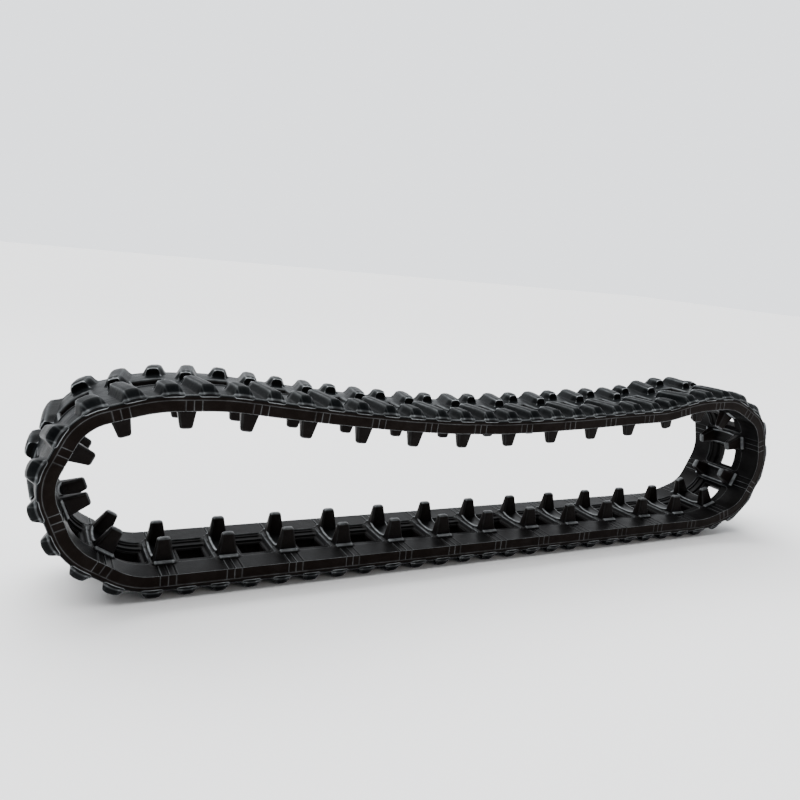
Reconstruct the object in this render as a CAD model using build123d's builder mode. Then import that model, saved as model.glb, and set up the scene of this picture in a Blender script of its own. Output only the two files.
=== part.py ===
from build123d import *
import os
from math import ceil, cos, floor, radians, sin, tan

# Endless rubber track of a compact tracked carrier, lying free on its flat run.
# +X runs along the loop, +Y across the belt, +Z up.  The origin is under the middle of the loop,
# on the surface that the tread rests on.  Link 1 is at the left end of the flat run, and the
# numbers go round the loop: flat run, right-hand bend, upper run, left-hand bend.

# ---- driving dimensions, in millimetres and degrees ----
pitch = 72.0                 # from one steel core to the next, along the cords
link_count = 32
belt_width = 130.0
flat_links = 12              # links 1 to 12 lie flat on the ground
first_core_x = -404.6        # core of link 1, seen from the origin

# Heights are measured from the cord layer, which neither stretches nor shortens when the belt bends.
# Positive is towards the inside of the loop.
roller_face = 7.0            # inner face that the rollers run on
carcass_back = 11.5          # outer face of the carcass, between the tread bars
bar_height = 11.0            # tread bars above the outer face
horn_tip = 35.0              # top of the guide horns

# Turn of the belt, in degrees, between the core of each link and the core before it.
turns = [33.0] + [0.0] * 11 + [17.0, 47.0, 43.0, 47.0, 29.0, 10.0, -10.0, 1.0, -1.0, -1.0]
turns += [-3.0, -3.0, -2.0, -1.0, -1.0, 8.0, 14.0, 49.0, 45.0, 38.0]
closing_turns = (14, 23, 30)         # these three are adjusted by a little, so that the loop closes

stiff_half = 0.2 * pitch             # the belt stays straight this far each side of a core
hinge_station = 31.0                 # each link starts this far before its core, in a tread valley
hinge_gap = 0.2                      # half the gap between two links, at the cord layer
hinge_relief = 11.5                  # slope of the link ends, so that neighbours can tilt
open_link = 23                       # the closed chain is opened before this link
open_gap = 1.0                       # half the gap there
tight_link = 31                      # amid the tightest bend, so it starts with a wider gap
tight_gap = 0.4                      # half the gap there

# Steel core: a bridge across the belt, two guide horns and two wings.
bridge_half = 19.0
bridge_length = 24.0
bridge_top = 9.0
bridge_bottom = -6.0
wing_reach = 50.0
wing_length = 18.0
wing_top = 5.5
wing_bottom = 1.9
horn_inside = 17.0                   # foot of a horn, from and to this distance off the middle
horn_outside = 33.5
horn_foot_length = 23.0
horn_tip_inside = 21.5
horn_tip_outside = 29.5
horn_tip_length = 11.0
horn_rounding = 2.5
collar_border = 2.0                  # rubber collar round the foot of a horn
collar_height = 2.5

# Steel cord plies
ply_inside = 20.0
ply_outside = 60.0
ply_half_thickness = 1.2
ply_clearance = 0.3

# Sprocket window between two cores, and the sunk channel that it lies in
window_start = 21.0                  # from the core of its link
window_length = 30.0
window_half_width = 15.0
channel_half_width = 29.0
channel_floor = 3.5

# Tread bars: two to a pitch on each side, leaning forward from the edge towards the middle
long_bar_edge = -16.0                # middle of a long bar at the edge of the belt, from the core
short_bar_edge = 20.0                # the same for a short bar, beside the window
bar_slant = 14.0                     # forward lean, from the edge to the middle of the belt
long_bar_inside = 8.0
short_bar_inside = 33.0
bar_outside = 64.5
bar_foot_length = 18.0
bar_top_length = 9.5
bar_sink = 3.0                       # the foot of a bar starts this deep in the carcass
bar_end_slope = 0.5                  # run of the upright outer end
bar_inner_slope = 2.0                # run of the steep inner end
cut_margin = 2.0                     # cutting tools run past the faces by this much


def reach(turn):
    """Distance from the end of a straight stretch to the corner of the bend that follows it."""
    bend_length = pitch - 2 * stiff_half
    if abs(turn) < 1e-9:
        return bend_length / 2
    return bend_length / radians(turn) * tan(radians(turn) / 2)


def core_poses(turn_list):
    """Place (x, z) and heading of every core, and of link 1 again after one round."""
    x, z, heading = first_core_x, bar_height + carcass_back, 0.0
    poses = [(x, z, heading)]
    for number in range(1, link_count + 1):
        turn = turn_list[number % link_count]
        step = stiff_half + reach(turn)
        x += step * cos(radians(heading))
        z += step * sin(radians(heading))
        heading += turn
        x += step * cos(radians(heading))
        z += step * sin(radians(heading))
        poses.append((x, z, heading))
    return poses


def closing_error(turn_list):
    """How far the end of one round misses its start: x, z and heading."""
    first, last = core_poses(turn_list)[0], core_poses(turn_list)[-1]
    return [last[0] - first[0], last[1] - first[1], last[2] - first[2] - 360.0]


def solve_three(matrix, right):
    """Solution of three linear equations, by Cramer's rule."""

    def determinant(rows):
        (a, b, c), (d, e, f), (g, h, i) = rows
        return a * (e * i - f * h) - b * (d * i - f * g) + c * (d * h - e * g)

    whole = determinant(matrix)
    answer = []
    for column in range(3):
        changed = [row[:column] + [value] + row[column + 1:] for row, value in zip(matrix, right)]
        answer.append(determinant(changed) / whole)
    return answer


def close_loop(turn_list):
    """Adjust the three closing turns until the loop meets itself."""
    turn_list = list(turn_list)
    nudge = 0.01
    for attempt in range(8):
        error = closing_error(turn_list)
        columns = []
        for place in closing_turns:
            nudged = list(turn_list)
            nudged[place] += nudge
            columns.append([(b - a) / nudge for a, b in zip(error, closing_error(nudged))])
        matrix = [[column[row] for column in columns] for row in range(3)]
        for place, change in zip(closing_turns, solve_three(matrix, error)):
            turn_list[place] -= change
    return turn_list


closed_turns = close_loop(turns)
cores = core_poses(closed_turns)[:link_count]


def station_frame(station):
    """Place and heading on the cord layer, at a distance along it from the core of link 1."""
    number = floor(station / pitch + 0.5)
    along = station - number * pitch
    x, z, heading = cores[number % link_count]
    side = 1 if along > 0 else -1
    straight = side * min(abs(along), stiff_half)
    x += straight * cos(radians(heading))
    z += straight * sin(radians(heading))
    rest = along - straight
    turn = closed_turns[(number + 1) % link_count] if side > 0 else closed_turns[number % link_count]
    if abs(rest) > 1e-9:
        swept = turn * rest / (pitch - 2 * stiff_half)
        chord = rest if abs(swept) < 1e-9 else rest * sin(radians(swept) / 2) / (radians(swept) / 2)
        x += chord * cos(radians(heading + swept / 2))
        z += chord * sin(radians(heading + swept / 2))
        heading += swept
    return x, z, heading


def belt_point(station, height):
    """Point of the side view at a station, this high above the cord layer."""
    x, z, heading = station_frame(station)
    return (x - height * sin(radians(heading)), z + height * cos(radians(heading)))


def belt_plane(station, height, outward=False):
    """Plane across the belt: local x runs along it and local z points into or out of the loop."""
    x, z = belt_point(station, height)
    heading = radians(station_frame(station)[2])
    normal = (-sin(heading), 0, cos(heading))
    if outward:
        normal = (sin(heading), 0, -cos(heading))
    return Plane(origin=(x, 0, z), x_dir=(cos(heading), 0, sin(heading)), z_dir=normal)


def bend_of(station):
    """Turn of the stretch that holds this station, 0 on a straight one."""
    number = floor(station / pitch)
    along = station - number * pitch
    if along < stiff_half or along > pitch - stiff_half:
        return 0.0
    return closed_turns[(number + 1) % link_count]


def run_along(start, end, height):
    """Lines and arcs parallel to the cord layer, from one station to another, either way."""
    low, high = min(start, end), max(start, end)
    marks = [low]
    for number in range(floor(low / pitch), ceil(high / pitch) + 1):
        for mark in (number * pitch - stiff_half, number * pitch + stiff_half):
            inside = low + 1e-6 < mark < high - 1e-6
            bent = max(abs(bend_of(mark - 0.1)), abs(bend_of(mark + 0.1))) > 1e-9
            if inside and bent:
                marks.append(mark)
    marks.append(high)
    if start > end:
        marks.reverse()
    for a, b in zip(marks[:-1], marks[1:]):
        if abs(bend_of((a + b) / 2)) > 1e-9:
            ThreePointArc(belt_point(a, height), belt_point((a + b) / 2, height), belt_point(b, height))
        else:
            Line(belt_point(a, height), belt_point(b, height))


def strip(start, end, bottom, top):
    """Outline between two stations and two heights."""
    run_along(start, end, top)
    Line(belt_point(end, top), belt_point(end, bottom))
    run_along(end, start, bottom)
    Line(belt_point(start, bottom), belt_point(start, top))


def side_plane(y):
    """Side view plane at this y; extruding from it goes towards -Y."""
    return Plane.XZ.offset(-y)


def slab(start, end, bottom, top, y_low, y_high):
    """Solid between two stations, two heights and two distances off the middle."""
    with BuildPart() as piece:
        with BuildSketch(side_plane(y_high)):
            with BuildLine():
                strip(start, end, bottom, top)
            make_face()
        extrude(amount=y_high - y_low)
    return piece.part


def half_gap(station):
    """Half the gap between two links at this hinge line."""
    for link, gap in ((open_link, open_gap), (tight_link, tight_gap)):
        if abs(station - (link - 1) * pitch + hinge_station) < 1:
            return gap
    return hinge_gap


def carcass(start, end):
    """Belt body with ends that slope away from the hinge lines at the cord layer."""
    slope = tan(radians(hinge_relief))
    a = start + half_gap(start)
    b = end - half_gap(end)
    inner_back = roller_face * slope
    outer_back = carcass_back * slope
    with BuildPart() as piece:
        with BuildSketch(side_plane(belt_width / 2)):
            with BuildLine():
                run_along(a + inner_back, b - inner_back, roller_face)
                Line(belt_point(b - inner_back, roller_face), belt_point(b, 0))
                Line(belt_point(b, 0), belt_point(b - outer_back, -carcass_back))
                run_along(b - outer_back, a + outer_back, -carcass_back)
                Line(belt_point(a + outer_back, -carcass_back), belt_point(a, 0))
                Line(belt_point(a, 0), belt_point(a + inner_back, roller_face))
            make_face()
        extrude(amount=belt_width)
    return piece.part


def tapered_block(plane, height, foot, top):
    """Block between two rectangles, each given as length, low y and high y."""
    with BuildPart() as piece:
        for level, (length, y_low, y_high) in ((0, foot), (height, top)):
            with BuildSketch(plane.offset(level)):
                with Locations((0, plane.y_dir.Y * (y_low + y_high) / 2)):
                    Rectangle(length, y_high - y_low)
        loft(ruled=True)
    return piece.part


def lean(across):
    """How far forward a tread bar has leant at this distance off the middle."""
    return bar_slant * (1 - across / (belt_width / 2))


def tread_bar(edge_station, inside, side):
    """One tread bar on one side, from its inner end to the edge of the belt."""
    middle = edge_station + lean((inside + bar_outside) / 2)
    plane = belt_plane(middle, -(carcass_back - bar_sink), outward=True)
    foot = (0, bar_foot_length, inside, bar_outside)
    top = (bar_height + bar_sink, bar_top_length, inside + bar_inner_slope, bar_outside - bar_end_slope)
    with BuildPart() as piece:
        for level, length, near, far in (foot, top):
            corners = []
            for across, share in ((near, -0.5), (near, 0.5), (far, 0.5), (far, -0.5)):
                along = edge_station + lean(across) - middle + share * length
                corners.append((along, plane.y_dir.Y * side * across))
            with BuildSketch(plane.offset(level)):
                with BuildLine():
                    Polyline(*corners, close=True)
                make_face()
        loft(ruled=True)
    return piece.part


def horn_block(station, side, bottom, border, top_height):
    """Tapered block round a guide horn; a border of 0 gives the horn itself."""
    share = (top_height - bottom) / (horn_tip - bottom)
    length = horn_foot_length + share * (horn_tip_length - horn_foot_length)
    inner = horn_inside + share * (horn_tip_inside - horn_inside)
    outer = horn_outside + share * (horn_tip_outside - horn_outside)
    foot_edges = sorted((side * (horn_inside - border), side * (horn_outside + border)))
    top_edges = sorted((side * (inner - border / 2), side * (outer + border / 2)))
    foot = (horn_foot_length + 2 * border, foot_edges[0], foot_edges[1])
    top = (length + border, top_edges[0], top_edges[1])
    return tapered_block(belt_plane(station, bottom), top_height - bottom, foot, top)


def steel_core(number):
    """Steel core of one link."""
    station = (number - 1) * pitch
    horns = [horn_block(station, side, wing_bottom, 0, horn_tip) for side in (-1, 1)]
    tip_height = horn_tip - horn_rounding
    with BuildPart() as core:
        for horn in horns:
            add(horn)
        plane = belt_plane(station, 0)
        tip_edges = []
        for edge in core.edges():
            if plane.to_local_coords(edge.center()).Z > tip_height:
                tip_edges.append(edge)
        fillet(tip_edges, horn_rounding)
        with BuildSketch(belt_plane(station, bridge_bottom)):
            Rectangle(bridge_length, 2 * bridge_half)
        extrude(amount=bridge_top - bridge_bottom)
        with BuildSketch(belt_plane(station, wing_bottom)):
            Rectangle(wing_length, 2 * wing_reach)
        extrude(amount=wing_top - wing_bottom)
    return core.part


def bars_and_collars(first, last):
    """Everything that stands on the carcass of these links."""
    pieces = []
    for number in range(first, last + 1):
        station = (number - 1) * pitch
        for side in (-1, 1):
            pieces.append(tread_bar(station + long_bar_edge, long_bar_inside, side))
            pieces.append(tread_bar(station + short_bar_edge, short_bar_inside, side))
            collar_top = roller_face + collar_height
            pieces.append(horn_block(station, side, roller_face - cut_margin, collar_border, collar_top))
    return pieces


def holes(first, last):
    """Sunk channel, sprocket windows and room for the cord plies in the rubber of these links."""
    start = (first - 1) * pitch - hinge_station
    end = last * pitch - hinge_station
    channel = (stiff_half, pitch - stiff_half, channel_floor, channel_half_width)
    window = (window_start, window_start + window_length, -carcass_back - cut_margin, window_half_width)
    pieces = []
    for number in range(first - 1, last + 1):
        station = (number - 1) * pitch
        for near, far, bottom, half in (channel, window):
            low = max(station + near, start - cut_margin)
            high = min(station + far, end + cut_margin)
            if low < high:
                pieces.append(slab(low, high, bottom, roller_face + cut_margin, -half, half))
    room = ply_half_thickness + ply_clearance
    for side in (-1, 1):
        low, high = sorted((side * (ply_inside - ply_clearance), side * (ply_outside + ply_clearance)))
        pieces.append(slab(start - cut_margin, end + cut_margin, -room, room, low, high))
    return pieces


def belt_rubber(first, last, steel):
    """Rubber of the links from first to last, moulded round their steel cores."""
    body = carcass((first - 1) * pitch - hinge_station, last * pitch - hinge_station)
    raised = bars_and_collars(first, last)
    sunk = holes(first, last)
    with BuildPart() as rubber:
        add(body)
        add(raised)
        add(sunk, mode=Mode.SUBTRACT)
        add(steel, mode=Mode.SUBTRACT)
    return rubber.part


def cord_ply(side):
    """Endless ply of steel cords on one side of the belt."""
    low, high = sorted((side * ply_inside, side * ply_outside))
    start, end = -stiff_half, link_count * pitch - stiff_half
    with BuildPart() as ply:
        with BuildSketch(side_plane(high)):
            with BuildLine():
                run_along(start, end, -ply_half_thickness)
            make_face()
            with BuildLine():
                run_along(start, end, ply_half_thickness)
            make_face(mode=Mode.SUBTRACT)
        extrude(amount=high - low)
    return ply.part


def write_piece(solid, name):
    """Label one finished piece and write it to its own file."""
    solid.label = name
    export_step(solid, f"parts/{name}.step")
    box = solid.bounding_box()
    print(name, round(solid.volume), [round(v, 1) for v in (*box.min, *box.max)], len(solid.solids()))


os.makedirs("parts", exist_ok=True)

steel_cores = [steel_core(number) for number in range(1, link_count + 1)]
for number, core in enumerate(steel_cores, start=1):
    write_piece(core, f"steel_core_{number:02d}")

write_piece(belt_rubber(1, flat_links, steel_cores[:flat_links]), "belt_rubber_flat_run")
for number in range(flat_links + 1, link_count + 1):
    write_piece(belt_rubber(number, number, steel_cores[number - 1:number]), f"belt_rubber_link_{number:02d}")

write_piece(cord_ply(-1), "steel_cord_ply_right")
write_piece(cord_ply(1), "steel_cord_ply_left")
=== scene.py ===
import math

import bmesh
import bpy
import numpy as np
from mathutils import Matrix, Vector


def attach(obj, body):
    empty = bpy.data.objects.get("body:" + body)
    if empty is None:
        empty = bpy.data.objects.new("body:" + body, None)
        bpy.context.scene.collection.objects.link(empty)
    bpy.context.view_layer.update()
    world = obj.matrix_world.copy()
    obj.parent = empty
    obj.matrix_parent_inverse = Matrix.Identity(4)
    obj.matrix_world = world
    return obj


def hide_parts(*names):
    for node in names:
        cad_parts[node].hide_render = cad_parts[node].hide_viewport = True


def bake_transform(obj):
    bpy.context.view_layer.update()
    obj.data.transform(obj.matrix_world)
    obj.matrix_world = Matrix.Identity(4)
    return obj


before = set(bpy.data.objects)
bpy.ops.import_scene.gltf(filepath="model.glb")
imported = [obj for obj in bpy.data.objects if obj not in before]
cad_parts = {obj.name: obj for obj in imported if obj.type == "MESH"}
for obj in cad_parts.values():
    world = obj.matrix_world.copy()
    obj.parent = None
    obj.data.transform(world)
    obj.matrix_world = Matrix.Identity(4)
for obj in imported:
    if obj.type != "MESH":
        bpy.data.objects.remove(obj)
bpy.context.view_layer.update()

# ---------------------------------------------------------------- driving dimensions, mm and degrees
# The loop: belt coordinates are a station along the cords (u from the core of a link), y across the
# belt and a height towards the inside of the loop, 0 at the cord layer.
PITCH = 72.0                    # from one steel core to the next
LINKS = 32
FLAT_LINKS = 12                 # links 1 to 12 lie flat on the ground
FIRST_CORE = (-404.6, 22.5)     # cord layer at the core of link 1, x and z
STIFF = 0.2 * PITCH             # the belt stays straight this far each side of a core
HINGE = 31.0                    # each link starts this far before its core
TURNS = [33.0] + [0.0] * 11 + [17.0, 47.0, 43.0, 47.0, 29.0, 10.0, -10.0, 1.0, -1.0, -1.0]
TURNS += [-3.0, -3.0, -2.0, -1.0, -1.0, 8.0, 14.0, 49.0, 45.0, 38.0]
CLOSING = (14, 23, 30)          # these turns are adjusted so that the loop closes
OPEN_LINK = 23                  # the chain of links is open before this one
CUT = 6.3                       # pieces of belt meet this far after a core
MM = 0.001
SHARP_ANGLE = 50.0

# The belt's section, as distances from the cord layer.
ROLLER_FACE = 7.0
BACK = 12.2                     # tread face between two bars
TREAD = 22.5                    # tops of the bars
GRID_EDGE = 64.0                # the tread and inner faces end here, and the side walls begin
CREASE = 43.0                   # the tread face sinks from here out to the edge
BELT_EDGE = 65.0
EDGE_BEAD = 62.9

# Tread bars: place at the edge of the belt, from the core, and distance of the inner end off the middle.
LONG_BAR, LONG_INSIDE = -16.0, 8.0
SHORT_BAR, SHORT_INSIDE = 20.0, 33.0
BARS = ((LONG_BAR, LONG_INSIDE), (SHORT_BAR, SHORT_INSIDE),
        (LONG_BAR - PITCH, LONG_INSIDE), (SHORT_BAR - PITCH, SHORT_INSIDE))
BAR_LEAN = 14.0                 # forward, from the edge to the middle of the belt
PIPS = (12.5, 17.0, 22.5)       # small pips on the crest of a long bar, off the middle

# Sprocket window, and three fine ribs or grooves at every core.
WINDOW_U = (-51.0, -21.0)
WINDOW_Y = 15.0
RIB_STEP = 8.6
RIBS = [centre + k * RIB_STEP for centre in (0.0, -PITCH) for k in (-1, 0, 1)]

# Guide horns: half length along the belt and span off the middle, at the foot and at the tip.
HORN_FOOT = (12.3, 17.2, 33.5)
HORN_TOP = (6.8, 21.5, 29.5)
HORN_FOOT_HEIGHT = 1.9
HORN_TIP = 35.0
HORN_ROUNDING = 2.6

# Cords: endless round wires in one layer each side of the windows.
CORDS_PER_SIDE = 13
CORD_RADIUS = 1.1
CORD_INSIDE, CORD_SPREAD = 21.5, 37.0


# ---------------------------------------------------------------- centre line of the belt
def reach(turn):
    """From the end of a straight stretch to the corner of the two headings."""
    bend_length = PITCH - 2 * STIFF
    if abs(turn) < 1e-9:
        return bend_length / 2
    return bend_length / math.radians(turn) * math.tan(math.radians(turn) / 2)


def core_poses(turns):
    """Place and heading of every core, and of the first one again after a full turn."""
    x, z, heading = FIRST_CORE[0], FIRST_CORE[1], 0.0
    poses = [(x, z, heading)]
    for number in range(1, LINKS + 1):
        turn = turns[number % LINKS]
        run = STIFF + reach(turn)
        x += run * math.cos(math.radians(heading))
        z += run * math.sin(math.radians(heading))
        heading += turn
        x += run * math.cos(math.radians(heading))
        z += run * math.sin(math.radians(heading))
        poses.append((x, z, heading))
    return np.array(poses)


def close_loop(turns):
    """The turns, with three of them nudged until the loop meets itself."""
    turns = list(turns)
    for _ in range(8):
        poses = core_poses(turns)
        error = poses[-1] - poses[0] - np.array([0, 0, 360.0])
        columns = []
        for place in CLOSING:
            nudged = list(turns)
            nudged[place] += 0.01
            moved = core_poses(nudged)
            columns.append((moved[-1] - moved[0] - np.array([0, 0, 360.0]) - error) / 0.01)
        for place, change in zip(CLOSING, np.linalg.solve(np.array(columns).T, error)):
            turns[place] -= change
    return turns


CLOSED = np.array(close_loop(TURNS))
CORES = core_poses(CLOSED)[:LINKS]


def line_frame(station):
    """Place and heading on the cord layer for an array of stations."""
    station = np.asarray(station, float)
    number = np.floor(station / PITCH + 0.5).astype(int)
    along = station - number * PITCH
    x, z, heading = CORES[number % LINKS].T
    heading = np.radians(heading)
    side = np.where(along > 0, 1.0, -1.0)
    straight = side * np.minimum(np.abs(along), STIFF)
    x = x + straight * np.cos(heading)
    z = z + straight * np.sin(heading)
    rest = along - straight
    turn = np.where(side > 0, CLOSED[(number + 1) % LINKS], CLOSED[number % LINKS])
    swept = np.radians(turn * rest / (PITCH - 2 * STIFF))
    half = swept / 2
    chord = rest * np.where(np.abs(half) < 1e-9, 1.0, np.sin(half) / np.where(np.abs(half) < 1e-9, 1.0, half))
    x = x + chord * np.cos(heading + half)
    z = z + chord * np.sin(heading + half)
    return x, z, heading + swept


def bend(station, y, height):
    """Points of the row frame, in metres, from belt coordinates in mm."""
    x, z, heading = line_frame(station)
    out = np.stack([x - height * np.sin(heading), np.asarray(y, float), z + height * np.cos(heading)], -1)
    return out * MM


def core_station(link):
    return (link - 1) * PITCH


# ---------------------------------------------------------------- small shape helpers
def step(a, b, x):
    """Smooth step from 0 at a to 1 at b."""
    t = np.clip((x - a) / (b - a), 0, 1)
    return t * t * (3 - 2 * t)


def smin(a, b, k):
    """Minimum of two heights with a rounding of this size."""
    h = np.clip(0.5 + 0.5 * (b - a) / k, 0, 1)
    return b + (a - b) * h - k * h * (1 - h)


def smax(a, b, k):
    return -smin(-a, -b, k)


def bell(x, w):
    """1 at 0, falling off over this width."""
    return np.exp(-(x / w) ** 2)


def slot_depth(u, y, u0, u1, y0, y1, r, soft):
    """1 inside a rounded rectangle, 0 outside, with an edge this soft."""
    cu, cy = (u0 + u1) / 2, (y0 + y1) / 2
    qu = np.abs(u - cu) - (u1 - u0) / 2 + r
    qy = np.abs(y - cy) - (y1 - y0) / 2 + r
    d = np.hypot(np.maximum(qu, 0), np.maximum(qy, 0)) + np.minimum(np.maximum(qu, qy), 0) - r
    return 1 - step(-soft / 2, soft / 2, d)


# ---------------------------------------------------------------- the belt, one pitch long
def lean(w):
    """How far forward a tread bar has leant at this distance off the middle."""
    return BAR_LEAN * (1 - w / BELT_EDGE)


def valley(w):
    """Tread face between two bars, sinking outside a faint crease."""
    return BACK - 1.9 * np.clip((w - CREASE) / (BELT_EDGE - CREASE), 0, 1) - 0.25 * bell(w - CREASE, 1.2)


def bar_spread(w, inside):
    """Half lengths of the top and the foot of a tread bar, widest towards the edge of the belt."""
    swell = step(inside + 1.0, inside + 13.0, w)
    half = 4.75 + 2.0 * swell - 0.8 * step(57.0, GRID_EDGE, w)
    return half, half + 3.5 + 1.9 * swell


def bar(u, w, edge, inside):
    """Tread face over one bar, which meets the edge of the belt at this place."""
    a = np.abs(u - edge - lean(w))
    half, foot = bar_spread(w, inside)
    crown = np.clip((a / half - 0.45) / 0.55, 0, 1.4)
    # the top falls a little towards the edge of the belt, then steeply down the end face
    top = TREAD - 0.2 - 2.0 * np.clip((w - 40.0) / 25.0, 0, 1) ** 2 - 1.25 * np.clip(w - 57.2, 0, 9)
    top = top - (0.4 + 0.35 * (half - 4.75)) * crown - 1.3 * step(inside + 9.0, inside + 1.0, w)
    flank = valley(w) + (foot - a) * 9.5 / (foot - half)
    inner = valley(w) + (w - inside) * 4.6
    return smin(smin(top, flank, 0.8), inner, 1.0)


def outer_height(u, y):
    """Distance of the tread face from the cord layer."""
    w = np.abs(y)
    z = valley(w)
    for edge, inside in BARS:
        z = smax(z, bar(u, w, edge, inside), 1.5)
        # lip down the inner end of a bar, and a few pips along the crest of a long one
        a = np.abs(u - edge - lean(w))
        z = z + 0.55 * bell(w - inside - 0.4, 0.9) * step(8.6, 7.6, a) * step(BACK + 9, BACK + 4, z)
        if inside == LONG_INSIDE:
            for place in PIPS:
                z = z + 0.6 * bell(w - place, 0.9) * bell(a, 0.9)
    # bead along the edge of the belt between two bars, and a rim round the window
    low = step(BACK + 2.0, BACK + 0.4, z)
    z = z + 0.7 * bell(w - EDGE_BEAD, 1.0) * low
    rim = slot_depth(u, y, -53.6, -18.4, -17.4, 17.4, 3.0, 1.2)
    rim = rim * (1 - slot_depth(u, y, -51.8, -20.2, -15.8, 15.8, 1.2, 1.0))
    z = z + 1.1 * rim * low
    return np.minimum(z, TREAD)


def tread_wear_and_light(u, y):
    """Painted highlights, partly rubbing too (positive), and painted shade on dark steep faces (negative) of
    the tread.
    """
    w = np.abs(y)
    low = step(BACK + 2.0, BACK + 0.4, outer_height(u, y))
    # painted highlights on the bead along the edge and on the window's rim
    wear_and_light_marks = 0.55 * bell(w - EDGE_BEAD, 1.1) * low
    window = slot_depth(u, y, -53.0, -19.0, -16.8, 16.8, 2.4, 1.0)
    wear_and_light_marks = wear_and_light_marks + 0.55 * window * low
    for edge, inside in BARS:
        a = np.abs(u - edge - lean(w))
        # painted shade on the inner end face of each bar; painted highlights along its top edge, foot,
        # flanks, crest and pips
        face = step(8.4, 7.4, a) * step(inside - 0.4, inside + 0.3, w) * step(inside + 2.4, inside + 1.9, w)
        top = bell(w - inside - 2.7, 0.6) * step(5.4, 4.6, a)
        foot = bell(w - inside + 0.2, 0.7) * step(9.6, 8.8, a)
        slope = 8.3 - 3.5 * np.clip((w - inside) / 2.3, 0, 1)
        flank = step(inside - 0.5, inside + 0.2, w) * step(inside + 3.2, inside + 2.6, w)
        flank = flank * bell(a - slope, 0.7)
        wear_and_light_marks = wear_and_light_marks - 1.2 * face + 1.1 * top + 0.8 * foot + 1.5 * flank
        half = bar_spread(w, inside)[0]
        wear_and_light_marks = wear_and_light_marks + 0.24 * bell(a - half + 0.2, 0.9) * step(inside + 2.5, inside + 4, w)
        if inside == LONG_INSIDE:
            for place in PIPS:
                wear_and_light_marks = wear_and_light_marks + 0.9 * bell(w - place, 0.9) * bell(a, 0.9)
    return wear_and_light_marks


def inner_wear_and_light(u, y):
    """The same for the inner face: painted highlights on the horn steps, channel edges and ribs, painted
    shade in grooves and well.
    """
    w = np.abs(y)
    wear_and_light_marks = np.zeros(np.broadcast(u, y).shape)
    for centre in (0.0, -PITCH):
        wear_and_light_marks = wear_and_light_marks + 0.75 * slot_depth(u, w, centre - 10.8, centre + 10.8, 33.6, 37.6, 1.4, 1.0)
    for place in RIBS:
        wear_and_light_marks = wear_and_light_marks - 0.8 * bell(u - place, 0.7) * step(38.0, 39.0, w)
        wear_and_light_marks = wear_and_light_marks + 0.35 * bell(u - place - 1.25, 0.6) * step(38.0, 39.0, w)
    edge = slot_depth(u, y, -57.4, -14.6, -32.0, 32.0, 5.0, 0.8)
    edge = edge - slot_depth(u, y, -56.4, -15.6, -31.0, 31.0, 5.0, 0.8)
    well = slot_depth(u, y, -56.0, -16.0, -27.6, 27.6, 3.0, 2.0)
    return wear_and_light_marks + 0.5 * edge - 0.55 * well


def inner_height(u, y):
    """Height of the inner face above the cord layer."""
    w = np.abs(y)
    h = np.full(np.broadcast(u, y).shape, ROLLER_FACE)
    # channel between two cores, with two small steps down to the window
    h = h - 1.9 * slot_depth(u, y, -57.0, -15.0, -31.5, 31.5, 5.0, 1.4)
    h = h - 1.5 * slot_depth(u, y, -55.8, -16.2, -27.0, 27.0, 4.0, 1.2)
    h = h - 2.6 * slot_depth(u, y, -54.6, -17.4, -18.5, 18.5, 2.5, 2.0)
    # three fine grooves across the flange at each core
    for place in RIBS:
        run = step(37.5, 39.0, w)
        h = h - 0.75 * bell(u - place, 0.55) * run + 0.28 * bell(u - place - 1.15, 0.5) * run
    for centre in (0.0, -PITCH):
        # rounded step at the outer foot of a horn and a low collar round it
        h = h + 2.3 * slot_depth(u, w, centre - 11.6, centre + 11.6, 32.0, 38.0, 2.6, 2.0)
        h = h + 1.3 * slot_depth(u, w, centre - 14.2, centre + 14.2, 15.0, 36.0, 4.0, 3.0)
    return h


def lines(parts):
    """Grid lines: runs of (start, end, step), merged, ends kept exact."""
    values = []
    for start, end, gap in parts:
        count = max(1, int(round((end - start) / gap)))
        values.extend(np.linspace(start, end, count + 1))
    values = sorted(set(round(float(v), 4) for v in values))
    kept = [values[0]]
    for v in values[1:]:
        if v - kept[-1] > 0.2:
            kept.append(v)
    return np.array(kept)


# grid of one pitch of belt, closer where the shape is finer, with lines along the window's edges
U_LINES = lines([(CUT - PITCH, -51, 1.0), (-51, -41, 1.0), (-41, -31, 1.1), (-31, -21, 1.1),
                 (-21, -11, 1.0), (-11, -7.4, 0.6), (-7.4, -2, 1.1), (-2, 2.6, 0.6), (2.6, CUT, 0.95)])
HALF_Y = lines([(0, 6, 2.0), (6, 15, 0.9), (15, 18, 0.75), (18, 22, 1.3), (22, 32, 1.1), (32, 39.5, 0.85),
                (39.5, 46, 1.3), (46, 60, 1.4), (60, GRID_EDGE, 0.8)])
Y_LINES = np.concatenate([-HALF_Y[:0:-1], HALF_Y])
SIDE_H = np.array([-9.7, -9.35, -9.0, -8.65, -8.3, -7.8, -7.2, -6.7, -6.3, -5.9, -5.5, -5.1, -4.7, -4.2,
                   -3.4, -1.6, 0.6, 2.8, 4.6, 5.6, 6.2, 6.6])


def end_line(u, h):
    """Rim round the foot of the end face of each tread bar."""
    line = 0.0
    for edge, _ in BARS:
        a = np.abs(u - edge - lean(GRID_EDGE))
        foot = -8.9 - 1.7 * np.clip((a - 8.0) / 3.0, 0, 1) ** 2
        line = line + bell(h - foot, 0.36) * step(11.6, 10.6, a)
    return line


def side_reach(u, h):
    """Half width of the belt on the side wall."""
    w = 64.25 - 0.45 * step(5.4, 6.8, h) - 0.1 * step(-7.4, -11.0, h)
    w = w + 0.75 * bell(h + 5.5, 0.62) + 0.5 * end_line(u, h)
    for place in RIBS:
        w = w + 0.68 * bell(u - place, 0.5) * step(-5.6, -4.9, h) * step(6.9, 6.0, h)
    return np.minimum(w, BELT_EDGE)


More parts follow.
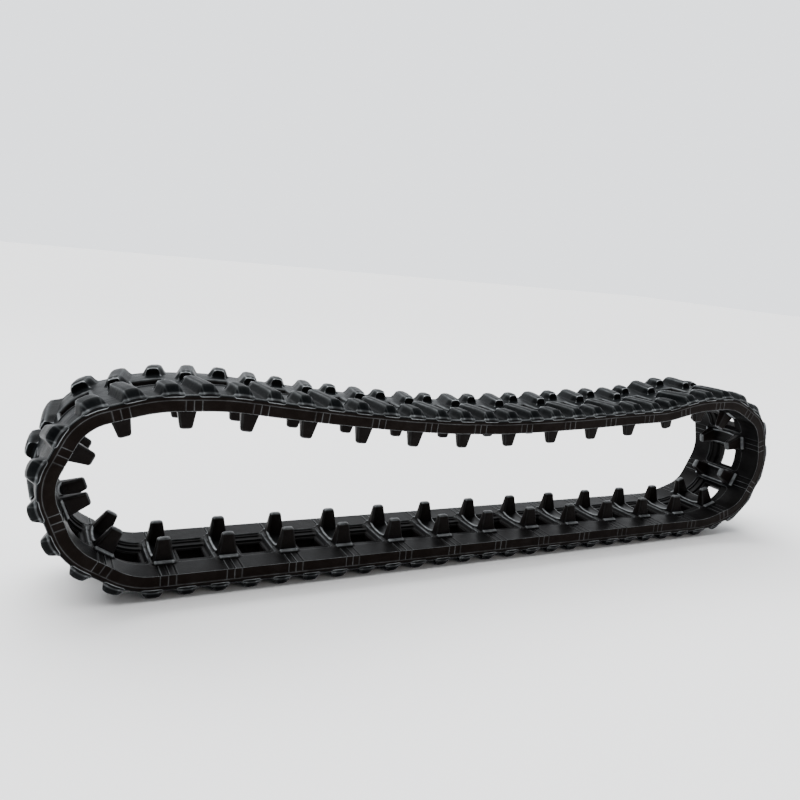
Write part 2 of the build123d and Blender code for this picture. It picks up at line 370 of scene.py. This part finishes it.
def wear_and_painted_light_of(grid, u, y):
    """Convex (positive) edges, for painted highlight and rubbing, and concave (negative) ones, for painted
    shade, of a height grid, -1 to 1.
    """
    gu, gy = np.gradient(grid, u, y)
    guu = np.gradient(gu, u, axis=0)
    gyy = np.gradient(gy, y, axis=1)
    return np.clip(-(guu + gyy) * 0.55, -1, 1)


def belt_module():
    """One pitch of belt: belt coordinates, quads, edge wear with painted highlights and shade, share of
    painted brown reflection, scoring.
    """
    u, y = U_LINES, Y_LINES
    nu, ny = len(u), len(y)
    uu, yy = np.meshgrid(u, y, indexing="ij")
    outer, inner = outer_height(uu, yy), inner_height(uu, yy)
    points = [np.stack([uu, yy, -outer], -1).reshape(-1, 3), np.stack([uu, yy, inner], -1).reshape(-1, 3)]
    # edge wear: painted highlights on convex edges and painted shade in concave ones, with the marks added
    wear_and_painted_light = [(0.4 * wear_and_painted_light_of(outer, u, y) + tread_wear_and_light(uu, yy)).ravel(),
            (0.6 * wear_and_painted_light_of(inner, u, y) + inner_wear_and_light(uu, yy)).ravel()]
    # share of the painted brown reflection: none on the tread face, some on the inner face
    brown_reflection = [np.zeros(nu * ny), np.full(nu * ny, 0.35)]
    scoring = [np.zeros(2 * nu * ny)]
    faces = []
    index = np.arange(nu * ny).reshape(nu, ny)
    cu, cy = (u[:-1] + u[1:]) / 2, (y[:-1] + y[1:]) / 2
    hole = ((cu > WINDOW_U[0]) & (cu < WINDOW_U[1]))[:, None] & (np.abs(cy) < WINDOW_Y)[None, :]
    a, b, c, d = index[:-1, :-1], index[1:, :-1], index[1:, 1:], index[:-1, 1:]
    keep = ~hole
    faces.append(np.stack([a[keep], b[keep], c[keep], d[keep]], -1))
    off = nu * ny
    faces.append(np.stack([a[keep], d[keep], c[keep], b[keep]], -1) + off)
    count = 2 * nu * ny
    # side walls, as rows of points from the tread face in to the inner face
    for sign, column in ((-1, 0), (1, ny - 1)):
        edge_out = outer[:, column]
        rows = [index[:, column]]
        first = np.minimum(0.55 - edge_out, -10.05)
        levels = [first] + [first + (-10.0 - first) * share for share in (0.4, 0.9)]
        levels += [np.full(nu, h) for h in SIDE_H]
        for k, level in enumerate(levels):
            reach_y = side_reach(u, level)
            points.append(np.stack([u, sign * reach_y, level], -1))
            # painted highlights on the side wall's ribs, ridge and lip, at the bar foot and on the rim round
            # each bar end
            ribs = np.max([bell(u - place, 0.5) for place in RIBS], 0)
            ribs = ribs * step(-5.6, -4.9, level) * step(6.9, 6.0, level)
            ridge = bell(level + 5.5, 0.6)
            lip = 0.95 * step(6.1, 6.6, level)
            foot = 0.6 * step(11.6, 10.9, edge_out) if k == 0 else 0.0
            rim = 1.3 * end_line(u, level)
            wear_and_light_marks = np.maximum(np.maximum(0.6 * ribs, 0.4 * ridge), np.maximum(lip, foot))
            wear_and_painted_light.append(np.clip(np.maximum(wear_and_light_marks, rim), 0, 1.3))
            # painted brown reflection, full on the side wall, weaker at its tread edge
            brown_reflection.append(0.3 + 0.7 * step(-8.6, -8.0, level))
            scoring.append(step(-10.6, -11.4, level))
            rows.append(np.arange(count, count + nu))
            count += nu
        rows.append(index[:, column] + off)
        for r0, r1 in zip(rows[:-1], rows[1:]):
            quad = np.stack([r0[:-1], r0[1:], r1[1:], r1[:-1]], -1)
            faces.append(quad if sign > 0 else quad[:, ::-1])
    # walls of the window
    i0, i1 = int(np.argmin(abs(u - WINDOW_U[0]))), int(np.argmin(abs(u - WINDOW_U[1])))
    j0, j1 = int(np.argmin(abs(y + WINDOW_Y))), int(np.argmin(abs(y - WINDOW_Y)))
    ring = [(i, j0) for i in range(i0, i1)] + [(i1, j) for j in range(j0, j1)]
    ring += [(i, j1) for i in range(i1, i0, -1)] + [(i0, j) for j in range(j1, j0, -1)]
    ring = np.array(ring)
    top = index[ring[:, 0], ring[:, 1]]
    ru, ry = u[ring[:, 0]], y[ring[:, 1]]
    ho, hi = -outer[ring[:, 0], ring[:, 1]], inner[ring[:, 0], ring[:, 1]]
    rows = [top]
    middle_u = sum(WINDOW_U) / 2
    for share, pull in ((0.06, 0.975), (0.35, 0.955), (0.7, 0.955), (0.94, 0.975)):
        pu = middle_u + (ru - middle_u) * pull
        py = ry * pull
        points.append(np.stack([pu, py, ho + (hi - ho) * share], -1))
        # painted highlights on the window's rims, painted shade down its walls, and some painted brown
        # reflection
        wear_and_painted_light.append(np.full(len(ring), 0.25 if share in (0.06, 0.94) else -0.3))
        brown_reflection.append(np.full(len(ring), 0.6))
        scoring.append(np.zeros(len(ring)))
        rows.append(np.arange(count, count + len(ring)))
        count += len(ring)
    rows.append(top + off)
    for r0, r1 in zip(rows[:-1], rows[1:]):
        faces.append(np.stack([r0, np.roll(r0, -1), np.roll(r1, -1), r1], -1))
    return tuple(np.concatenate(part) for part in (points, faces, wear_and_painted_light, brown_reflection, scoring))


def make_mesh(name, coordinates, faces, material, attributes=(), weld=False):
    """A mesh object with point attributes, smooth apart from its sharp edges."""
    mesh = bpy.data.meshes.new(name)
    mesh.from_pydata(coordinates.tolist(), [], faces)
    for label, values in attributes:
        layer = mesh.attributes.new(label, "FLOAT", "POINT")
        layer.data.foreach_set("value", np.asarray(values, np.float32))
    if weld:
        bm = bmesh.new()
        bm.from_mesh(mesh)
        bmesh.ops.remove_doubles(bm, verts=bm.verts, dist=2e-6)
        bm.to_mesh(mesh)
        bm.free()
    mesh.shade_smooth()
    mesh.set_sharp_from_angle(angle=math.radians(SHARP_ANGLE))
    mesh.materials.append(material)
    obj = bpy.data.objects.new(name, mesh)
    bpy.context.scene.collection.objects.link(obj)
    return obj


# ---------------------------------------------------------------- horns and bridge of one core
def ring_points(count, half_u, y_low, y_high, corner):
    """Rounded rectangle in the plane of the belt."""
    cy, half_y = (y_low + y_high) / 2, (y_high - y_low) / 2
    corner = min(corner, half_u * 0.98, half_y * 0.98)
    out = []
    for q, (su, sy) in enumerate(((1, 1), (-1, 1), (-1, -1), (1, -1))):
        for k in range(count // 4):
            t = math.radians(90 * q + 90 * k / (count // 4 - 1))
            out.append((su * (half_u - corner) + corner * math.cos(t),
                        cy + sy * (half_y - corner) + corner * math.sin(t)))
    return np.array(out)


def horn_shape(side):
    """Belt coordinates, quads and edge wear with painted highlights and shade of one guide horn."""
    count, rounding = 40, HORN_ROUNDING
    levels = [3.0, 6.2, 7.2, 7.8, 8.5, 9.4, 10.5, 13, 17, 21, 25, 28.5, 31]
    levels += [HORN_TIP - rounding + rounding * math.sin(math.radians(t)) for t in (0, 18, 36, 54, 72, 86)]
    rings, wear_and_painted_light = [], []
    for h in levels:
        share = (h - HORN_FOOT_HEIGHT) / (HORN_TIP - HORN_FOOT_HEIGHT)
        half_u, y_low, y_high = (foot + share * (top - foot) for foot, top in zip(HORN_FOOT, HORN_TOP))
        half_u += 0.4 * math.exp(-max(h - ROLLER_FACE, 0) / 3.5)
        skirt = 1.9 * math.exp(-max(h - ROLLER_FACE, 0) / 1.3)
        inset = 0.0
        if h > HORN_TIP - rounding:
            inset = rounding - math.sqrt(max(rounding ** 2 - (h - HORN_TIP + rounding) ** 2, 0))
        corner = 3.2 - inset * 0.6
        ring = ring_points(count, half_u + skirt * 0.4 - inset, y_low - skirt * 1.6 + inset,
                           y_high + skirt * 0.5 - inset, corner)
        rings.append(np.column_stack([ring[:, 0], side * ring[:, 1], np.full(len(ring), h)]))
        # painted highlights on the corners and the tip, painted shade on the low part near the foot
        angle = np.linspace(0, 2 * math.pi, len(ring), endpoint=False)
        corners = np.clip(1.4 * np.abs(np.sin(2 * angle)) - 0.7, 0, 1)
        top = 0.55 * float(step(HORN_TIP - 2.4, HORN_TIP - 1.2, np.array(h)))
        wear_and_painted_light.append(np.clip(0.25 * corners + top, 0, 1) if h > 9 else np.full(len(ring), -0.25))
    n = len(rings[0])
    points = np.concatenate(rings)
    faces = []
    for r in range(len(rings) - 1):
        for k in range(n):
            a, b = r * n + k, r * n + (k + 1) % n
            faces.append((a, b, b + n, a + n) if side > 0 else (a, a + n, b + n, b))
    last = (len(rings) - 1) * n
    centre = len(points)
    points = np.vstack([points, [[0, side * 25.5, HORN_TIP]]])
    for k in range(n):
        a, b = last + k, last + (k + 1) % n
        faces.append((a, b, centre, centre) if side > 0 else (a, centre, centre, b))
    return points, faces, np.concatenate(wear_and_painted_light + [np.array([0.5])])


def bridge_shape():
    """Saddle between the two horns."""
    y = np.linspace(-21.5, 21.5, 33)
    half = [(0, 8.1), (3.5, 8.1), (7.4, 8.3), (8.6, 8.9), (10.0, 9.0), (11.2, 8.6), (12.0, 7.8), (12.5, 6.6),
            (12.6, 4.5)]
    profile = [(-u, h) for u, h in half[:0:-1]] + half
    points, wear_and_painted_light = [], []
    for value in y:
        lift = 2.6 * (abs(value) / 19.0) ** 3
        for u, h in profile:
            share = min(max((h - 4.5) / 4.5, 0), 1)
            points.append((u, value, h + lift * share))
            # painted highlight along the bridge's edges, painted shade elsewhere
            wear_and_painted_light.append(0.9 if abs(abs(u) - 10.6) < 1.0 else -0.2)
    n = len(profile)
    faces = []
    for r in range(len(y) - 1):
        for k in range(n - 1):
            a = r * n + k
            faces.append((a, a + 1, a + n + 1, a + n))
    return np.array(points), faces, np.array(wear_and_painted_light)


def joined(shapes):
    """Several shapes as one."""
    points, faces, wear_and_painted_light, start = [], [], [], 0
    for p, f, w in shapes:
        points.append(p)
        faces.extend([tuple(start + i for i in face) for face in f])
        wear_and_painted_light.append(w)
        start += len(p)
    return np.concatenate(points), faces, np.concatenate(wear_and_painted_light)


# ---------------------------------------------------------------- materials
def node(tree, kind, **values):
    """A new shader node with these properties or input values."""
    n = tree.nodes.new(kind)
    for key, value in values.items():
        if hasattr(n, key):
            setattr(n, key, value)
        else:
            n.inputs[key.replace("_", " ")].default_value = value
    return n


def rubber(name, dark, grey, reflected_brown, rough, sheen, grain, seed):
    """Cloudy black rubber with a painted brown reflection, and painted edge highlights, rubbing and crease
    shade.
    """
    material = bpy.data.materials.new(name)
    material.use_nodes = True
    tree = material.node_tree
    tree.nodes.clear()
    link = tree.links.new
    out = node(tree, "ShaderNodeOutputMaterial")
    shader = node(tree, "ShaderNodeBsdfPrincipled")
    link(shader.outputs["BSDF"], out.inputs["Surface"])
    shader.inputs["IOR"].default_value = 1.5
    shader.inputs["Specular IOR Level"].default_value = sheen
    coords = node(tree, "ShaderNodeTexCoord")
    place = node(tree, "ShaderNodeMapping")
    place.inputs["Location"].default_value = (seed * 1.7, seed * 0.9, seed * 2.3)
    link(coords.outputs["Object"], place.inputs["Vector"])

    def noise(scale, detail, roughness=0.55):
        n = node(tree, "ShaderNodeTexNoise")
        n.inputs["Scale"].default_value = scale
        n.inputs["Detail"].default_value = detail
        n.inputs["Roughness"].default_value = roughness
        link(place.outputs["Vector"], n.inputs["Vector"])
        return n

    def ramp(source, stops):
        r = node(tree, "ShaderNodeValToRGB")
        while len(r.color_ramp.elements) < len(stops):
            r.color_ramp.elements.new(0.5)
        for element, (position, colour) in zip(r.color_ramp.elements, stops):
            element.position = position
            element.color = (*colour, 1)
        link(source, r.inputs["Fac"])
        return r

    def mix(factor, a, b, blend="MIX"):
        m = node(tree, "ShaderNodeMix", data_type="RGBA", blend_type=blend)
        if isinstance(factor, float):
            m.inputs[0].default_value = factor
        else:
            link(factor, m.inputs[0])
        for socket, value in ((m.inputs[6], a), (m.inputs[7], b)):
            if isinstance(value, tuple):
                socket.default_value = (*value, 1)
            else:
                link(value, socket)
        return m.outputs[2]

    def math_node(operation, a, b=None, clamp=False):
        m = node(tree, "ShaderNodeMath", operation=operation, use_clamp=clamp)
        for socket, value in ((m.inputs[0], a), (m.inputs[1], b)):
            if value is None:
                continue
            if isinstance(value, (int, float)):
                socket.default_value = value
            else:
                link(value, socket)
        return m.outputs[0]

    wear_and_painted_light = node(tree, "ShaderNodeAttribute", attribute_name="edge_wear_and_painted_light").outputs["Fac"]
    brown_reflection = node(tree, "ShaderNodeAttribute", attribute_name="brown_reflection").outputs["Fac"]
    broad = noise(14, 3)
    patch = noise(60, 4, 0.6)
    fine = noise(900, 3, 0.7)
    # cloudy black with grey bloom in patches, and a painted brown reflection on the side walls and upper
    # horns
    base = ramp(broad.outputs["Fac"], [(0.3, dark), (0.72, grey)])
    sides = ramp(patch.outputs["Fac"], [(0.3, reflected_brown), (0.75, tuple(v * 1.7 for v in reflected_brown))])
    colour = mix(brown_reflection, base.outputs["Color"], sides.outputs["Color"])
    dust = ramp(patch.outputs["Fac"], [(0.45, (0, 0, 0)), (0.8, (1, 1, 1))])
    colour = mix(math_node("MULTIPLY", dust.outputs["Color"], 0.1), colour, (0.03, 0.033, 0.035))
    # upright scoring on the end walls of the bars
    scored = node(tree, "ShaderNodeAttribute", attribute_name="scoring").outputs["Fac"]
    run = node(tree, "ShaderNodeAttribute", attribute_name="station").outputs["Fac"]
    wander = math_node("MULTIPLY", broad.outputs["Fac"], 9.0)
    waves = math_node("SINE", math_node("ADD", math_node("MULTIPLY", run, 3.6), wander))
    stripes = math_node("MULTIPLY", math_node("MULTIPLY", waves, scored), 0.5, True)
    colour = mix(math_node("MULTIPLY", stripes, 0.4), colour, (0.03, 0.033, 0.035))
    # painted highlight on convex edges, partly rubbed grey too, from the edge wear attribute
    edge = math_node("MULTIPLY", wear_and_painted_light, math_node("MULTIPLY", patch.outputs["Fac"], 1.3), True)
    highlight_and_rubbed = math_node("MULTIPLY", math_node("POWER", edge, 1.5), 0.88, True)
    colour = mix(highlight_and_rubbed, colour, (0.42, 0.445, 0.46))
    # painted shade: concave edges and steep faces mixed towards black
    painted_crease_shade = math_node("MULTIPLY", wear_and_painted_light, -0.8, True)
    colour = mix(painted_crease_shade, colour, (0.001, 0.001, 0.001))
    link(colour, shader.inputs["Base Color"])
    shine = ramp(patch.outputs["Fac"], [(0.25, (rough - 0.07,) * 3), (0.8, (rough + 0.1,) * 3)])
    gloss = math_node("SUBTRACT", shine.outputs["Color"], math_node("MULTIPLY", edge, 0.1))
    link(gloss, shader.inputs["Roughness"])
    bump_1 = node(tree, "ShaderNodeBump")
    bump_1.inputs["Strength"].default_value = grain
    bump_1.inputs["Distance"].default_value = 0.00025
    link(fine.outputs["Fac"], bump_1.inputs["Height"])
    bump_2 = node(tree, "ShaderNodeBump")
    bump_2.inputs["Strength"].default_value = grain * 0.6
    bump_2.inputs["Distance"].default_value = 0.0012
    link(patch.outputs["Fac"], bump_2.inputs["Height"])
    link(bump_1.outputs["Normal"], bump_2.inputs["Normal"])
    link(bump_2.outputs["Normal"], shader.inputs["Normal"])
    return material


# the brown colours here are a painted reflection of the ground, mixed in on the side walls
TREAD_RUBBER = rubber("tread_rubber", dark=(0.002, 0.0024, 0.0027), grey=(0.005, 0.006, 0.0066),
                      reflected_brown=(0.0046, 0.003, 0.0024), rough=0.36, sheen=0.022, grain=0.35, seed=1)
HORN_RUBBER = rubber("horn_rubber", dark=(0.0018, 0.0019, 0.0021), grey=(0.0042, 0.0042, 0.0044),
                     reflected_brown=(0.0045, 0.0029, 0.0024), rough=0.33, sheen=0.035, grain=0.3, seed=4)


def brass_cord():
    """Brass-plated steel wire."""
    material = bpy.data.materials.new("brass_plated_cord")
    material.use_nodes = True
    tree = material.node_tree
    shader = tree.nodes["Principled BSDF"]
    shader.inputs["Metallic"].default_value = 1.0
    shader.inputs["Roughness"].default_value = 0.35
    coords = node(tree, "ShaderNodeTexCoord")
    noise = node(tree, "ShaderNodeTexNoise")
    noise.inputs["Scale"].default_value = 700
    tree.links.new(coords.outputs["Object"], noise.inputs["Vector"])
    ramp = node(tree, "ShaderNodeValToRGB")
    ramp.color_ramp.elements[0].color = (0.33, 0.27, 0.16, 1)
    ramp.color_ramp.elements[1].color = (0.62, 0.55, 0.38, 1)
    tree.links.new(noise.outputs["Fac"], ramp.inputs["Fac"])
    tree.links.new(ramp.outputs["Color"], shader.inputs["Base Color"])
    bump = node(tree, "ShaderNodeBump")
    bump.inputs["Strength"].default_value = 0.4
    bump.inputs["Distance"].default_value = 0.0002
    tree.links.new(noise.outputs["Fac"], bump.inputs["Height"])
    tree.links.new(bump.outputs["Normal"], shader.inputs["Normal"])
    return material


CORD = brass_cord()


# ---------------------------------------------------------------- build the pieces
def body_name(link):
    """CAD body that carries this link."""
    link = (link - 1) % LINKS + 1
    return "flat_run" if link <= FLAT_LINKS else f"link_{link}"


MODULE = belt_module()


def belt_piece(name, links, low=-math.inf, high=math.inf):
    """Belt of these links, from cut to cut, or only what is between low and high along a link."""
    points, faces, wear_and_painted_light, brown_reflection, scoring = MODULE
    middle = points[faces][:, :, 0].mean(1)
    kept = faces[(middle > low) & (middle < high)]
    coordinates = np.concatenate([bend(core_station(link) + points[:, 0], points[:, 1], points[:, 2])
                                  for link in links])
    quads = np.concatenate([kept + number * len(points) for number in range(len(links))])
    extras = [(label, np.tile(values, len(links))) for label, values in
              (("edge_wear_and_painted_light", wear_and_painted_light), ("brown_reflection", brown_reflection), ("scoring", scoring), ("station", points[:, 0]))]
    used = np.unique(quads)
    remap = np.full(len(coordinates), -1)
    remap[used] = np.arange(len(used))
    obj = make_mesh(name, coordinates[used], remap[quads].tolist(), TREAD_RUBBER,
                    [(label, values[used]) for label, values in extras], weld=len(links) > 1)
    return obj


def belt_node(link):
    """CAD node of the rubber of this link."""
    return "belt_rubber_flat_run" if link <= FLAT_LINKS else f"belt_rubber_link_{link}"


flat = belt_piece("belt_flat_run", range(2, FLAT_LINKS + 1))
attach(flat, "flat_run")
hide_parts("belt_rubber_flat_run")
for link in [1] + list(range(FLAT_LINKS + 1, LINKS + 1)):
    if link == OPEN_LINK:
        before = belt_piece(f"belt_link_{link - 1}_end", [link], high=-HINGE)
        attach(before, body_name(link - 1))
        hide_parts(belt_node(link - 1))
        after = belt_piece(f"belt_link_{link}", [link], low=-HINGE)
        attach(after, body_name(link))
        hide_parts(belt_node(link))
        continue
    piece = belt_piece(f"belt_link_{link:02d}", [link])
    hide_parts(belt_node(link))
    station = core_station(link)
    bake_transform(piece)

points, faces, wear_and_painted_light = joined([horn_shape(1), horn_shape(-1), bridge_shape()])
faces = [tuple(dict.fromkeys(face)) for face in faces]      # the fans on the tips are triangles
for link in range(1, LINKS + 1):
    place = bend(core_station(link) + 0 * points[:, 0], points[:, 1], 0 * points[:, 2])
    x, z, heading = line_frame(core_station(link))
    along = np.array([math.cos(heading), 0, math.sin(heading)])
    up = np.array([-math.sin(heading), 0, math.cos(heading)])
    coordinates = place + MM * (points[:, :1] * along + points[:, 2:] * up)
    # painted brown reflection on the upper part of the horns
    horns = make_mesh(f"horns_{link:02d}", coordinates, faces, HORN_RUBBER,
                      (("edge_wear_and_painted_light", wear_and_painted_light), ("brown_reflection", 0.75 * step(8, 16, points[:, 2]))))
    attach(horns, body_name(link))
    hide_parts(f"steel_core_{link:02d}")


def cord_band(name, start, end):
    """Endless cords of both plies between two stations, each a round wire."""
    sides = 8
    stations = np.linspace(start, end, max(2, int(round((end - start) / 6.0))) + 1)
    points, faces, count = [], [], 0
    for side in (-1, 1):
        for w in range(CORDS_PER_SIDE):
            y = side * (CORD_INSIDE + CORD_SPREAD * w / (CORDS_PER_SIDE - 1))
            for s in stations:
                t = np.arange(sides) * 2 * math.pi / sides
                points.append(bend(np.full(sides, s), y + CORD_RADIUS * np.cos(t), CORD_RADIUS * np.sin(t)))
            for r in range(len(stations) - 1):
                for k in range(sides):
                    a, b = count + r * sides + k, count + r * sides + (k + 1) % sides
                    faces.append((a, b, b + sides, a + sides))
            for ring in (0, len(stations) - 1):
                cap = [count + ring * sides + k for k in range(sides)]
                faces.append(tuple(cap if ring else cap[::-1]))
            count += len(stations) * sides
    obj = make_mesh(name, np.concatenate(points), faces, CORD)
    return obj


band = cord_band("cords_flat_run", -HINGE, FLAT_LINKS * PITCH - HINGE)
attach(band, "flat_run")
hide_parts("steel_cord_ply_right", "steel_cord_ply_left")
for link in range(FLAT_LINKS + 1, LINKS + 1):
    station = core_station(link)
    band = cord_band(f"cords_link_{link}", station - HINGE, station + PITCH - HINGE)
    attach(band, body_name(link))
    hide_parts("steel_cord_ply_right", "steel_cord_ply_left")


# ---------------------------------------------------------------- floor, light and camera
def plain(name, colour, rough):
    material = bpy.data.materials.new(name)
    material.use_nodes = True
    shader = material.node_tree.nodes["Principled BSDF"]
    shader.inputs["Base Color"].default_value = (*colour, 1)
    shader.inputs["Roughness"].default_value = rough
    return material


mesh = bpy.data.meshes.new("floor")
size = 12.0
mesh.from_pydata([(-size, -size, 0), (size, -size, 0), (size, size, 0), (-size, size, 0)], [], [(0, 1, 2, 3)])
mesh.materials.append(plain("pale_floor", (0.93, 0.93, 0.93), 0.9))
floor = bpy.data.objects.new("floor", mesh)
bpy.context.scene.collection.objects.link(floor)

# bright backdrop beyond the track, dim behind the camera
world = bpy.data.worlds.new("studio")
world.use_nodes = True
tree = world.node_tree
background = tree.nodes["Background"]
background.inputs["Color"].default_value = (0.93, 0.96, 1.0, 1)
direction = node(tree, "ShaderNodeTexCoord")
along = node(tree, "ShaderNodeVectorMath", operation="DOT_PRODUCT")
tree.links.new(direction.outputs["Generated"], along.inputs[0])
along.inputs[1].default_value = (0.44, 0.86, -0.25)
strength = node(tree, "ShaderNodeMapRange", interpolation_type="SMOOTHSTEP")
strength.inputs["From Min"].default_value = -0.5
strength.inputs["From Max"].default_value = 0.75
strength.inputs["To Min"].default_value = 0.18
strength.inputs["To Max"].default_value = 2.15
tree.links.new(along.outputs["Value"], strength.inputs["Value"])
tree.links.new(strength.outputs["Result"], background.inputs["Strength"])
bpy.context.scene.world = world


def area(name, place, target, size, power, colour=(1, 1, 1)):
    light = bpy.data.lights.new(name, "AREA")
    light.shape = "RECTANGLE"
    light.size, light.size_y = size
    light.energy = power
    light.color = colour
    obj = bpy.data.objects.new(name, light)
    bpy.context.scene.collection.objects.link(obj)
    obj.location = place
    obj.rotation_euler = (Vector(target) - Vector(place)).to_track_quat("-Z", "Y").to_euler()
    return obj


area("sky_panel", (-0.2, 1.4, 1.8), (0, 0, 0.1), (2.8, 1.0), 14, (0.93, 0.97, 1.0))
area("front_fill", (0.8, -2.4, 1.4), (0.1, 0, 0.0), (1.6, 1.0), 10, (1.0, 0.95, 0.9))
lamp = bpy.data.lights.new("soft_sky", "SUN")
lamp.energy = 6.0
lamp.angle = math.radians(75)
sun = bpy.data.objects.new("soft_sky", lamp)
bpy.context.scene.collection.objects.link(sun)
sun.rotation_euler = (math.radians(-18), math.radians(-14), 0)

camera_data = bpy.data.cameras.new("camera")
camera_data.sensor_width = 36.0
camera_data.lens = 33.18
camera_data.clip_start = 0.01
camera = bpy.data.objects.new("camera", camera_data)
bpy.context.scene.collection.objects.link(camera)
yaw, pitch_down, roll = 0.48113, 0.19339, 0.10010
level = math.cos(pitch_down)
forward = Vector((math.sin(yaw) * level, math.cos(yaw) * level, -math.sin(pitch_down)))
right = Vector((math.cos(yaw), -math.sin(yaw), 0))
above = right.cross(forward)
cam_x = right * math.cos(roll) + above * math.sin(roll)
cam_y = -right * math.sin(roll) + above * math.cos(roll)
rotation = Matrix((cam_x, cam_y, -forward)).transposed().to_4x4()
camera_place = [value * MM for value in (FIRST_CORE[0] - 138.6, -824.2, FIRST_CORE[1] + 367.9)]
camera.matrix_world = Matrix.Translation(camera_place) @ rotation
bpy.context.scene.camera = camera
